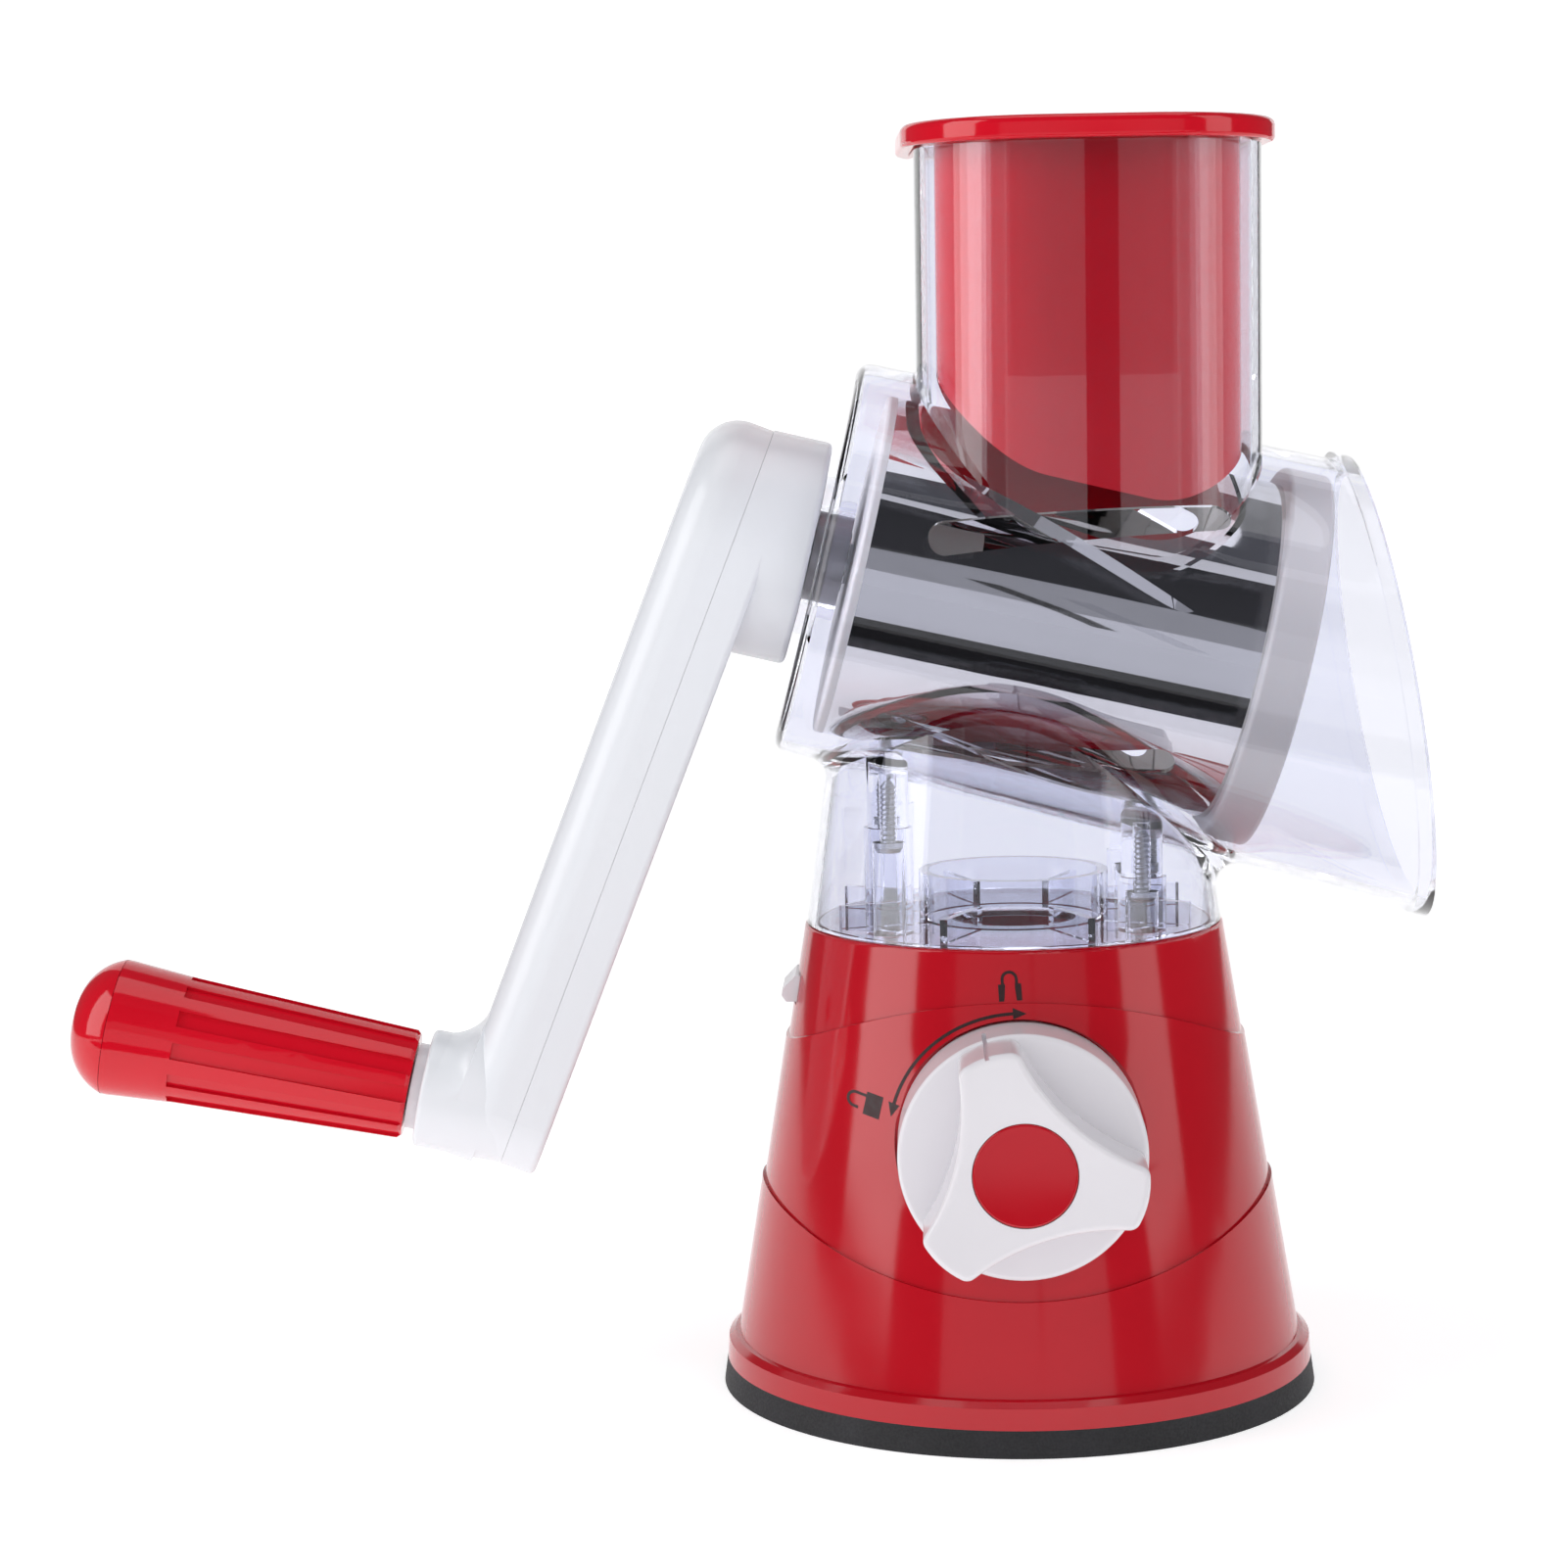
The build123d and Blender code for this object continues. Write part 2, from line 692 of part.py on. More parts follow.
# ---------------------------------------------------------------- latch
def release_latch():
    half = latch_width / 2
    bar_top = latch_bar_bottom + latch_bar_height
    root = latch_tab_depth - latch_tip
    body = block((root, -latch_post_back), (-half, half), (latch_bar_bottom, bar_top))
    outline = Polyline(
        (root, latch_bar_bottom), (0.9 - latch_tip, latch_bar_bottom),
        (-latch_tip, latch_bar_bottom + 1.3), (0.2 - latch_tip, latch_bar_bottom + 2.6),
        (2.8 - latch_tip, latch_tab_top), (root, latch_tab_top), close=True,
    )
    body += extrude(Plane.XZ * make_face(outline), half + latch_opening_side, both=True)
    post_half = half - 2.0
    post = block((-latch_post_front, -latch_post_back), (-post_half, post_half), (bar_top, latch_post_top))
    return body + post


# ---------------------------------------------------------------- housing
def casing_radius(reach):
    return casing_back_radius + casing_taper * (reach - casing_back)


def casing_cone(start, end, grow):
    return turned([
        (0, start), (casing_radius(start) + grow, start), (casing_radius(end) + grow, end), (0, end),
    ])


def skirt_cone(grow, top):
    low = skirt_radius + grow
    high = low - skirt_taper * (top - skirt_bottom)
    return turned([(0, skirt_bottom), (low, skirt_bottom), (high, top), (0, top)])


housing_bosses = [
    (side * boss_side, front * boss_front, axis_height - drop)
    for side, drop in ((-1, crank_side_boss_drop), (1, exit_side_boss_drop)) for front in (-1, 1)
]


def food_housing():
    past_mouth = extrude(mouth_plane * Rectangle(far, far), far)
    outer = casing_cone(casing_back, exit_reach + 40, 0)
    outer = fillet(outer.edges().group_by(Axis.Z)[0], back_corner)
    outer = drum_frame * outer - past_mouth
    bead_slab = extrude(mouth_plane * Rectangle(far, far), -exit_bead_width)
    bead = (drum_frame * casing_cone(0, exit_reach + 40, exit_bead_rise)) & bead_slab
    casing_void = drum_frame * casing_cone(casing_back + clear_wall, exit_reach + 60, -clear_wall)
    casing_solid = outer

    skirt_top = axis_height - 8
    skirt = skirt_cone(0, skirt_top)
    body = casing_solid + skirt
    body = fillet(new_edges(casing_solid, skirt, combined=body), skirt_blend)

    hopper = rounded_plate(hopper_width, hopper_depth, hopper_corner, axis_height, hopper_top)
    well = rounded_plate(
        hopper_width - 2 * clear_wall, hopper_depth - 2 * clear_wall,
        hopper_corner - clear_wall, axis_height, hopper_top,
    )
    body = body + hopper + bead
    body -= casing_void
    body -= well
    cellar = skirt_cone(-clear_wall, skirt_top) - casing_solid
    for x, y, top in housing_bosses:
        cellar -= base_frame * Pos(x, y, 0) * rod(upper_boss_radius, top + fit_gap, axis_height)
    body -= cellar
    for x, y, top in housing_bosses:
        hole_top = top + housing_screw_length - boss_seat_depth + screw_hole_spare
        body -= base_frame * Pos(x, y, 0) * rod(small_screw[0] + running_gap, top, hole_top)

    # back wall: ring outside, collar inside, hole for the bush
    ring = drum_frame * rod(wall_ring_radius, casing_back - bush_back_proud, casing_back)
    collar = drum_frame * rod(bush_radius + bush_collar_wall, casing_back, bush_front)
    hole = drum_frame * rod(bush_radius + running_gap, -far, bush_front)
    return body + ring + collar - hole


def shaft_bush():
    sleeve = tube(bush_radius, journal_radius + running_gap, casing_back - bush_back_proud, bush_front)
    return drum_frame * sleeve


def lock_plate():
    radius = cone_radius(rim_height, 2) - base_wall - 0.4
    plate = rod(radius, plate_bottom, plate_top)
    plate += tube(collar_radius, collar_radius - clear_wall, plate_top, collar_top)
    for place in ring_places(0, rib_count, 0, 360 / rib_count / 2):
        rib_reach = (collar_radius - clear_wall / 2, radius - clear_wall)
        half = rib_thickness / 2
        plate += place * block(rib_reach, (-half, half), (plate_top, plate_top + rib_height))
    plate += tube(spigot_radius, spigot_radius - spigot_wall, spigot_bottom, plate_bottom)
    plate -= rod(spigot_radius - spigot_wall, spigot_bottom, plate_top)
    for x, y, top in housing_bosses:
        plate += Pos(x, y, 0) * rod(lower_boss_radius, plate_bottom, top)
    for x, y, top in housing_bosses:
        plate -= Pos(x, y, 0) * rod(small_screw[1] + fit_gap, plate_bottom, top - boss_seat_depth)
        plate -= Pos(x, y, 0) * rod(small_screw[0] + running_gap, plate_bottom, top)

    # catch for the release latch, hanging through the deck's slot
    half = latch_width / 2 - 1.0
    face = -catch_face
    plate += block((face - catch_thickness, face), (-half, half), (boss_bottom - 1.5, plate_top))
    plate += block((face, face + catch_lug), (-half, half), (boss_bottom + 0.5, boss_bottom + 2.0))
    return base_frame * plate


def housing_screws():
    places = [base_frame * Pos(x, y, top - boss_seat_depth) for x, y, top in housing_bosses]
    return screws(places, small_screw, housing_screw_length)


# ---------------------------------------------------------------- drum
def slot_cutter(turn):
    """A slanted round-ended window, cut through the sheet on one side of the drum."""
    outline = Rot(0, 0, slot_slant) * SlotOverall(slot_length, slot_width)
    face = Plane(origin=(0, 0, slot_middle), x_dir=(0, 0, 1), z_dir=(1, 0, 0)) * outline
    return Rot(0, 0, turn) * Pos(drum_radius / 2, 0, 0) * extrude(face, drum_radius)


def lip(turn):
    """The bent-up slicing edge along a window: highest in the middle, level at both ends."""
    sections = []
    half = slot_length / 2 - slot_width / 2
    slope = math.tan(math.radians(slot_slant))
    for i in range(lip_sections + 1):
        share = 2 * i / lip_sections - 1
        reach = share * half * math.cos(math.radians(slot_slant))
        rise = lip_rise * (1 - share ** 2) + 0.02
        middle = reach * slope
        edge = middle + slot_width / 2 / math.cos(math.radians(slot_slant))
        root = edge + lip_width
        root_angle = math.degrees(math.asin(root / drum_radius))
        edge_angle = math.degrees(math.asin(edge / drum_radius))
        under, over = drum_radius - drum_sheet, drum_radius
        inner = [(under + lip_sink, root_angle), (under + lip_sink + rise, edge_angle)]
        outer = [(over - lip_sink + rise, edge_angle), (over - lip_sink, root_angle)]
        points = [Vector(r, 0, slot_middle + reach).rotate(Axis.Z, a) for r, a in inner + outer]
        sections.append(make_face(Polyline(*points, close=True)))
    return Rot(0, 0, turn) * loft(sections)


def drum_shell():
    shell = tube(drum_radius, drum_radius - drum_sheet, drum_back + drum_disc, drum_front)
    for i in range(slot_count):
        turn = slot_angle + 360 / slot_count * i
        shell -= slot_cutter(turn)
        shell += lip(turn)
    return drum_frame * shell


def drum_rear_hub():
    disc_front = drum_back + drum_disc
    inner = drum_radius - drum_sheet - running_gap
    hub = rod(drum_radius, drum_back, disc_front)
    hub = fillet(hub.edges().group_by(Axis.Z)[0], drum_sheet)
    hub += tube(inner, inner - hub_rim_wall, disc_front, disc_front + hub_rim_depth)
    hub += rod(hub_radius, disc_front, hub_front)
    half = spoke_thickness / 2
    spoke = block((hub_radius - 1, inner - 1), (-half, half), (disc_front, disc_front + hub_rim_depth))
    for place in ring_places(0, spoke_count, 0):
        hub += place * spoke
    hub -= bar(drive_square + 2 * slide_gap, drum_back, drive_front + free_gap)
    return drum_frame * hub


def drum_front_ring():
    inner = drum_radius - drum_sheet - running_gap
    ring = tube(ring_radius, inner - sleeve_wall, drum_front, ring_front)
    round_edges = ring.edges().filter_by(GeomType.CIRCLE)
    ring = fillet(round_edges.filter_by(lambda e: e.radius > drum_radius), 0.9)
    ring += tube(inner, inner - sleeve_wall, drum_front - ring_sleeve, drum_front)
    return drum_frame * ring


# ---------------------------------------------------------------- crank
screw_post_radius = small_screw[1] + 1.2


def crank_arm_inner():
    outline = tapered_outline(crank_hub_radius, arm_end_radius, arm_length)
    arm = extrude(outline, -inner_arm_depth)
    arm = fillet(arm.edges().group_by(Axis.Z)[0], hub_edge)
    pocket = tapered_outline(crank_hub_radius - arm_wall, arm_end_radius - arm_wall, arm_length)
    pocket = extrude(pocket, -inner_arm_depth + arm_wall)
    arm = arm_frame * (arm - pocket)
    hub_back = seam_offset - inner_arm_depth
    hub = rod(crank_hub_radius, hub_face, hub_back)
    hub = drum_frame * fillet(hub.edges().group_by(Axis.Z)[-1], hub_edge)
    hub_void = drum_frame * rod(crank_hub_radius - arm_wall, hub_face - arm_wall, hub_back)
    outside = extrude(arm_frame * Rectangle(far, far), far)
    arm = arm + (hub - outside) - hub_void
    for x in arm_screw_reaches:
        arm += arm_frame * Pos(x, 0, 0) * rod(screw_post_radius, 0, -inner_arm_depth)
    arm += drum_frame * rod(hub_core_radius, hub_face, hub_back) - outside
    arm -= drum_frame * bar(drive_square + fit_gap, hub_face, hub_face - hub_square_depth)
    arm -= drum_frame * rod(small_screw[0] + running_gap, hub_face, -far)
    arm -= drum_frame * rod(small_screw[1] + fit_gap, seam_offset + hub_screw_seat, -far)
    seat = arm_screw_sink - inner_arm_depth
    for x in arm_screw_reaches:
        arm -= arm_frame * Pos(x, 0, 0) * rod(small_screw[1] + fit_gap, -inner_arm_depth, seat)
        arm -= arm_frame * Pos(x, 0, 0) * rod(small_screw[0] + running_gap, -inner_arm_depth, 0)
    return arm


def boss_foot():
    """Hollow flare between the arm's face and the grip's boss, on the side towards the hub."""
    face = seam_gap + outer_arm_depth
    slope = math.tan(math.radians(arm_lean + grip_droop))
    sections = []
    for i in range(boss_sections + 1):
        turn = math.radians(90 * i / boss_sections)
        height = face + boss_flare * (1 - math.cos(turn))
        spare = boss_flare * (1 - math.sin(turn))
        centre = arm_length + height * slope - spare / 2
        sections.append(Pos(centre, 0, height) * Ellipse(grip_boss_radius + spare / 2, grip_boss_radius))
    return loft(sections) + extrude(sections[0], -boss_flare)


def crank_arm_outer():
    outline = tapered_outline(crank_hub_radius, arm_end_radius, arm_length)
    arm = Pos(0, 0, seam_gap) * extrude(outline, outer_arm_depth)
    arm = fillet(arm.edges().group_by(Axis.Z)[-1], arm_edge)
    pocket = tapered_outline(crank_hub_radius - arm_wall, arm_end_radius - arm_wall, arm_length)
    pocket = extrude(pocket, outer_arm_depth + seam_gap - arm_wall)
    arm -= fillet(pocket.edges().group_by(Axis.Z)[-1], arm_edge - arm_wall)
    for x in arm_screw_reaches:
        arm += Pos(x, 0, 0) * rod(screw_post_radius, seam_gap, outer_arm_depth)
    boss = rod(grip_boss_radius, boss_root, grip_boss_end)
    boss = grip_frame * fillet(boss.edges().group_by(Axis.Z)[0], boss_edge)
    spare_end = grip_frame * rod(far, grip_boss_end + 2 * boss_edge, -far)
    arm = arm_frame * arm + (arm_frame * boss_foot() - spare_end)
    below = extrude(arm_frame * Rectangle(far, far), -far)
    inside = arm_frame * extrude(outline, seam_gap)
    arm = arm + (boss - below - inside)
    arm -= grip_frame * rod(pin_radius + running_gap, boss_root, grip_boss_end)
    hole_depth = crank_screw_length + arm_screw_sink - inner_arm_depth + screw_hole_spare
    for x in arm_screw_reaches:
        arm -= arm_frame * Pos(x, 0, 0) * rod(small_screw[0] + running_gap, 0, hole_depth)
    return arm


def crank_screws():
    places = [arm_frame * Pos(x, 0, arm_screw_sink - inner_arm_depth) for x in arm_screw_reaches]
    return screws(places, small_screw, crank_screw_length)


def drive_shaft():
    shaft = rod(journal_radius, hub_face, bush_front + 0.4)
    shaft += bar(drive_square, hub_face, drive_front)
    shaft += bar(drive_square, hub_face, hub_face - hub_square_depth + fit_gap)
    screw_end = seam_offset + hub_screw_seat + shaft_screw_length
    shaft -= rod(small_screw[0] + running_gap, screw_end + screw_hole_spare, -far)
    shaft = chamfer(shaft.faces().sort_by(Axis.Z)[-1].edges(), 0.8)
    return drum_frame * shaft


def shaft_screw():
    seat = seam_offset + hub_screw_seat
    return screws([drum_frame * Pos(0, 0, seat)], small_screw, shaft_screw_length)


def grip_spindle():
    end = grip_boss_end
    spindle = rod(neck_radius, end, end - neck_length)
    spindle += rod(pin_radius, boss_root, pin_end)
    spindle -= rod(small_screw[0] + running_gap, pin_end, pin_end + grip_screw_length + screw_hole_spare)
    return grip_frame * spindle


def grip_screw():
    """Broad-headed screw that keeps the grip on its spindle."""
    return screws([grip_frame * Pos(0, 0, pin_end)], grip_screw_size, grip_screw_length)


def hand_grip():
    recess_floor = pin_end + 1.2
    outline = Polyline(
        (pin_radius + running_gap, grip_start), (grip_start_radius - 0.8, grip_start),
        (grip_start_radius, grip_start - 0.8), (grip_waist_radius, grip_waist),
        (grip_belly_radius, grip_belly), (grip_belly_radius, cap_seam),
        (grip_recess_radius, cap_seam), (grip_recess_radius, recess_floor),
        (pin_radius + running_gap, recess_floor), close=True,
    )
    grip = revolve(Plane.XZ * make_face(outline), Axis.Z)
    lean = math.degrees(math.atan2(grip_waist_radius - grip_start_radius, grip_start - grip_waist))
    flute = Box(2 * flute_depth, flute_width, 2 * (grip_start - flute_end))
    for i in range(flute_count):
        place = Rot(0, 0, 360 / flute_count * i) * Pos(grip_start_radius, 0, grip_start)
        grip -= place * Rot(0, -lean, 0) * flute
    return grip_frame * grip


def grip_end_cap():
    base = cap_seam - fit_gap
    arc = ThreePointArc((0, grip_tip), (grip_belly_radius * 0.76, grip_tip + 2.6), (grip_belly_radius, base))
    rest = Polyline((grip_belly_radius, base), (0, base), (0, grip_tip))
    cap = revolve(Plane.XZ * make_face(arc + rest), Axis.Z)
    plug_outer = grip_recess_radius - fit_gap
    cap += tube(plug_outer, plug_outer - 1.2, cap_seam - 1, cap_seam + 3.5)
    return grip_frame * cap


# ---------------------------------------------------------------- pusher
pusher_width = hopper_width - 2 * clear_wall - 2 * pusher_gap
pusher_depth = hopper_depth - 2 * clear_wall - 2 * pusher_gap
pusher_corner = hopper_corner - clear_wall - pusher_gap


def food_pusher():
    body = rounded_plate(pusher_width, pusher_depth, pusher_corner, axis_height, flange_bottom)
    wide = hopper_width + 2 * flange_overhang
    deep = hopper_depth + 2 * flange_overhang
    flange = rounded_plate(wide, deep, hopper_corner + flange_overhang, flange_bottom, flange_top)
    flange = fillet(flange.edges().group_by(Axis.Z)[-1], flange_edge)
    flange = fillet(flange.edges().group_by(Axis.Z)[0], flange_edge * 0.6)
    body = body + flange - drum_frame * rod(pusher_sole_radius, -far, far)
    inner = (pusher_width - 2 * pusher_wall, pusher_depth - 2 * pusher_wall, pusher_corner - pusher_wall)
    hollow = rounded_plate(*inner, axis_height, flange_top)
    hollow -= drum_frame * rod(pusher_sole_radius + pusher_wall, -far, far)
    rabbet = rounded_plate(
        inner[0] + 2 * cover_ledge, inner[1] + 2 * cover_ledge, inner[2] + cover_ledge,
        flange_top - cover_thickness, flange_top,
    )
    return body - hollow - rabbet


def pusher_cover():
    edge = cover_ledge - pusher_wall - fit_gap
    cover = rounded_plate(
        pusher_width + 2 * edge, pusher_depth + 2 * edge, pusher_corner + edge,
        flange_top - cover_thickness, flange_top - 0.2,
    )
    return fillet(cover.edges().group_by(Axis.Z)[-1], 0.5)


# ---------------------------------------------------------------- files
base_pieces = [
    base_shell, rubber_foot, suction_cup, cup_clamp_ring, clamp_ring_screws, base_deck,
    deck_screws, cam_bearing_block, bearing_screws, latch_guide, guide_screws, latch_spring,
    suction_knob, knob_cap, knob_screw, cam_shaft, lift_stem, release_latch,
]
upper_pieces = [
    food_housing, shaft_bush, lock_plate, housing_screws,
    crank_arm_inner, crank_arm_outer, crank_screws, drive_shaft, shaft_screw, grip_spindle,
    grip_screw, drum_shell, drum_rear_hub, drum_front_ring, hand_grip, grip_end_cap,
    food_pusher, pusher_cover,
]


def save(piece, frame):
    solids = [frame * solid for solid in piece().solids()]
    export_step(solids[0] if len(solids) == 1 else Compound(children=solids), f"parts/{piece.__name__}.step")
    print("wrote", piece.__name__)


os.makedirs("parts", exist_ok=True)
for piece in base_pieces:
    save(piece, base_frame)
for piece in upper_pieces:
    save(piece, Location())
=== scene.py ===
# %% [markdown]
# # A crank-driven drum slicer, dressed for the camera
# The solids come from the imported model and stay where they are. This script gives each of them the
# finish of its real material, adds the printed marks beside the knob, and sets up the studio.
# All lengths are metres. +Z is up, +X points to the open end of the drum, and -Y to the knob's side.

# %% Load the frame
import json
import math

import bpy
from mathutils import Matrix, Vector
from mathutils.bvhtree import BVHTree


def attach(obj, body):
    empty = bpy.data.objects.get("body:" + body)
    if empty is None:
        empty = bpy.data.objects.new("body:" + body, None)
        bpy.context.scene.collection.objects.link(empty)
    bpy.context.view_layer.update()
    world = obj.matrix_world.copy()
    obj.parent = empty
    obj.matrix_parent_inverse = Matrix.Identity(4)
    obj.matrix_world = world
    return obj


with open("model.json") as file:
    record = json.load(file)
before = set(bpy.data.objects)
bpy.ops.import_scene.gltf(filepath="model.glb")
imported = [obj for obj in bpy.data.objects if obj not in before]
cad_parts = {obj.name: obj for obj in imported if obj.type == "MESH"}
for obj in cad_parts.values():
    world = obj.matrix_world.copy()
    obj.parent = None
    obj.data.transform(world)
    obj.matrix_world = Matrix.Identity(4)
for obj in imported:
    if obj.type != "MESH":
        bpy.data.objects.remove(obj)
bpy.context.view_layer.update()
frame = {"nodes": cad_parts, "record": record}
nodes = frame["nodes"]

# %% Units and colours
MM = 0.001


def linear(hex_colour):
    """An sRGB hex colour as the linear RGBA that Blender's sockets take."""
    channels = [int(hex_colour[i:i + 2], 16) / 255 for i in (1, 3, 5)]
    curve = [c / 12.92 if c <= 0.04045 else ((c + 0.055) / 1.055) ** 2.4 for c in channels]
    return (*curve, 1.0)


def per_metre(size_mm):
    """Texture scale at which one feature is about size_mm wide."""
    return 1000 / size_mm


# %% [markdown]
# ## Camera
# A product shot like this is taken from about 0.7 m with a short telephoto, a little above the rim
# and looking slightly down. The place and angle can be found by hand with guide lines, or solved from
# known points of the object. The numbers below were solved from the ellipses of the foot, rim and drum.

# %% Camera
CAMERA_PLACE = Vector((-46.19, -720.08, 204.27)) * MM
CAMERA_YAW = math.radians(0.033)
CAMERA_PITCH = math.radians(-6.522)
CAMERA_ROLL = math.radians(-1.037)
SENSOR_WIDTH = 36.0
FOCAL_SHARE = 2.30034  # focal length over the width of the frame

look = Vector((
    math.sin(CAMERA_YAW) * math.cos(CAMERA_PITCH),
    math.cos(CAMERA_YAW) * math.cos(CAMERA_PITCH),
    math.sin(CAMERA_PITCH),
))
level = Vector((math.cos(CAMERA_YAW), -math.sin(CAMERA_YAW), 0))
rise = level.cross(look)
right = level * math.cos(CAMERA_ROLL) + rise * math.sin(CAMERA_ROLL)
up = rise * math.cos(CAMERA_ROLL) - level * math.sin(CAMERA_ROLL)

lens = bpy.data.cameras.new("product_camera")
lens.sensor_width = SENSOR_WIDTH
lens.lens = FOCAL_SHARE * SENSOR_WIDTH
lens.clip_start = 0.05
camera = bpy.data.objects.new("product_camera", lens)
turn = Matrix((right, up, -look)).transposed().to_4x4()
camera.matrix_world = Matrix.Translation(CAMERA_PLACE) @ turn
bpy.context.scene.collection.objects.link(camera)
bpy.context.scene.camera = camera
print("camera lens:", round(lens.lens, 2), "mm")

# %% [markdown]
# ## Nodes
# Every finish below is a small tree of nodes. One helper adds a node: a value that is a socket
# becomes a link, and any other value is typed into the socket.


# %% Node helper
def add(tree, kind, inputs=None, **settings):
    """Adds one node with its settings, and fills or links its input sockets."""
    node = tree.nodes.new(kind)
    for name, value in settings.items():
        setattr(node, name, value)
    for name, value in (inputs or {}).items():
        if isinstance(value, bpy.types.NodeSocket):
            tree.links.new(value, node.inputs[name])
        else:
            node.inputs[name].default_value = value
    return node


def start_material(name):
    """An empty material, its tree, and the socket with the piece's own coordinates in metres."""
    material = bpy.data.materials.new(name)
    material.use_nodes = True
    tree = material.node_tree
    tree.nodes.clear()
    return material, tree, add(tree, "ShaderNodeTexCoord").outputs["Object"]


def finish_material(tree, surface):
    add(tree, "ShaderNodeOutputMaterial", {"Surface": surface})


def speckle(tree, place, size_mm, detail=2.0):
    """Noise with features of about size_mm, as a 0 to 1 value."""
    return add(
        tree, "ShaderNodeTexNoise",
        {"Vector": place, "Scale": per_metre(size_mm), "Detail": detail},
    ).outputs["Fac"]


def spread(tree, value, low, high, from_low=0.3, from_high=0.7):
    """Maps the useful middle of a noise value to a range."""
    return add(
        tree, "ShaderNodeMapRange",
        {"Value": value, "From Min": from_low, "From Max": from_high, "To Min": low, "To Max": high},
    ).outputs["Result"]


def two_colours(tree, share, first, second):
    return add(
        tree, "ShaderNodeMix", {0: share, 6: linear(first), 7: linear(second)}, data_type="RGBA"
    ).outputs[2]


def bump(tree, height, depth_mm, normal=None):
    inputs = {"Height": height, "Distance": depth_mm * MM, "Strength": 1.0}
    if normal is not None:
        inputs["Normal"] = normal
    return add(tree, "ShaderNodeBump", inputs).outputs["Normal"]


# %% [markdown]
# ## Red ABS
# The base, pusher and grip are ABS, injection moulded in a polished tool. Polished ABS has sharp
# reflections that waver a little, because the skin sinks by a few micrometres as it cools, and
# handling leaves fine hairlines. One glossy shader with a shallow ripple shows both. A coat layer
# isn't needed, because the plastic is not lacquered. The roughness varies very little: a strong
# variation that is finer than a pixel turns into stains when the render is cleaned of noise. The
# pusher and grip get a brighter, slightly glossier copy of the same red. That is painted light,
# which on the pusher makes up for the light that the clear housing keeps from it.


# %% Red ABS
def moulded_abs(name, deep, bright, gloss, ripple_mm=0.010, glow=0.0):
    """Polished moulded ABS: two close tones, a haze in the gloss, sink ripple and hairlines."""
    material, tree, place = start_material(name)
    tone = two_colours(tree, spread(tree, speckle(tree, place, 38.0), 0.0, 1.0), deep, bright)
    haze = spread(tree, speckle(tree, place, 9.0, 1.0), gloss, gloss + 0.02)
    stretched = add(
        tree, "ShaderNodeMapping", {"Vector": place, "Rotation": (0.3, 0.9, 0.5), "Scale": (1, 1, 14)}
    ).outputs["Vector"]
    hairline = spread(tree, speckle(tree, stretched, 9.0, 1.0), 0.0, 0.01, 0.62, 0.72)
    rough = add(tree, "ShaderNodeMath", {0: haze, 1: hairline}, operation="ADD").outputs[0]
    ripple = bump(tree, speckle(tree, place, 16.0, 1.0), ripple_mm)
    skin = bump(tree, speckle(tree, place, 0.8, 2.0), 0.0006, ripple)
    shader = add(tree, "ShaderNodeBsdfPrincipled", {
        "Base Color": tone, "Roughness": rough, "IOR": 1.53, "Normal": skin,
        "Subsurface Weight": glow, "Subsurface Radius": (1.0, 0.7, 0.6), "Subsurface Scale": 2.5 * MM,
    })
    finish_material(tree, shader.outputs[0])
    return material


red_abs = moulded_abs("polished_red_abs", "#B4081A", "#BA0A1D", 0.10)
# Painted light: a brighter copy of the same red for the pusher and grip, standing in for lost light.
painted_lit_red_abs = moulded_abs("polished_red_abs_painted_lighter", "#D00A20", "#D60C24", 0.08)
print("made", red_abs.name, painted_lit_red_abs.name)

# %% [markdown]
# ## White ABS
# The crank and knob are the same kind of ABS in white, with a satin and a polished skin. The drum's
# ring and hub are a milkier polypropylene, a shade warmer and less glossy. Light enters it a little
# way and comes out beside where it went in, so it also gets a short subsurface scatter.

# %% White plastics
crank_white = moulded_abs("satin_white_abs", "#E8EAEF", "#EAECF1", 0.24, 0.003, 0.0)
knob_white = moulded_abs("polished_white_abs", "#E4E1E6", "#E8E5EA", 0.20, 0.006, 0.0)
milky_white = moulded_abs("milky_polypropylene", "#E4E0DD", "#E9E5E2", 0.34, 0.008, 0.15)
print("made", crank_white.name, knob_white.name, milky_white.name)

# %% [markdown]
# ## Clear styrene
# The housing is a clear styrene plastic moulded with 2 mm walls. Styrene bends light with an IOR of
# 1.59, and in a studio whose walls aren't all lit that makes every edge of a real glass shader black.
# The photo's edges are pale. So the bending here is weak, with an IOR of 1.10, and a coat with a
# plastic's IOR brings back the reflections that the weak bending loses. Glass in a path tracer blocks
# lamps, which would leave the drum inside too dark, so lamp rays meet a plain transparent shader in
# its place. The tint is a trace of violet, as clear styrene has at its edges.


# %% Clear styrene
def clear_styrene():
    material, tree, place = start_material("clear_styrene")
    wipe = spread(tree, speckle(tree, place, 11.0, 5.0), 0.0, 0.01, 0.55, 0.85)
    flow = bump(tree, speckle(tree, place, 22.0, 1.0), 0.008)
    glass = add(tree, "ShaderNodeBsdfPrincipled", {
        "Base Color": linear("#F4F5FD"), "Roughness": wipe, "IOR": 1.10,
        "Transmission Weight": 1.0, "Normal": flow,
        "Coat Weight": 1.0, "Coat Roughness": 0.0, "Coat IOR": 1.5,
    })
    open_way = add(tree, "ShaderNodeBsdfTransparent", {"Color": linear("#F7F8FC")})
    lamp_ray = add(tree, "ShaderNodeLightPath").outputs["Is Shadow Ray"]
    mix = add(tree, "ShaderNodeMixShader", {0: lamp_ray, 1: glass.outputs[0], 2: open_way.outputs[0]})
    finish_material(tree, mix.outputs[0])
    return material


clear = clear_styrene()
print("made", clear.name)

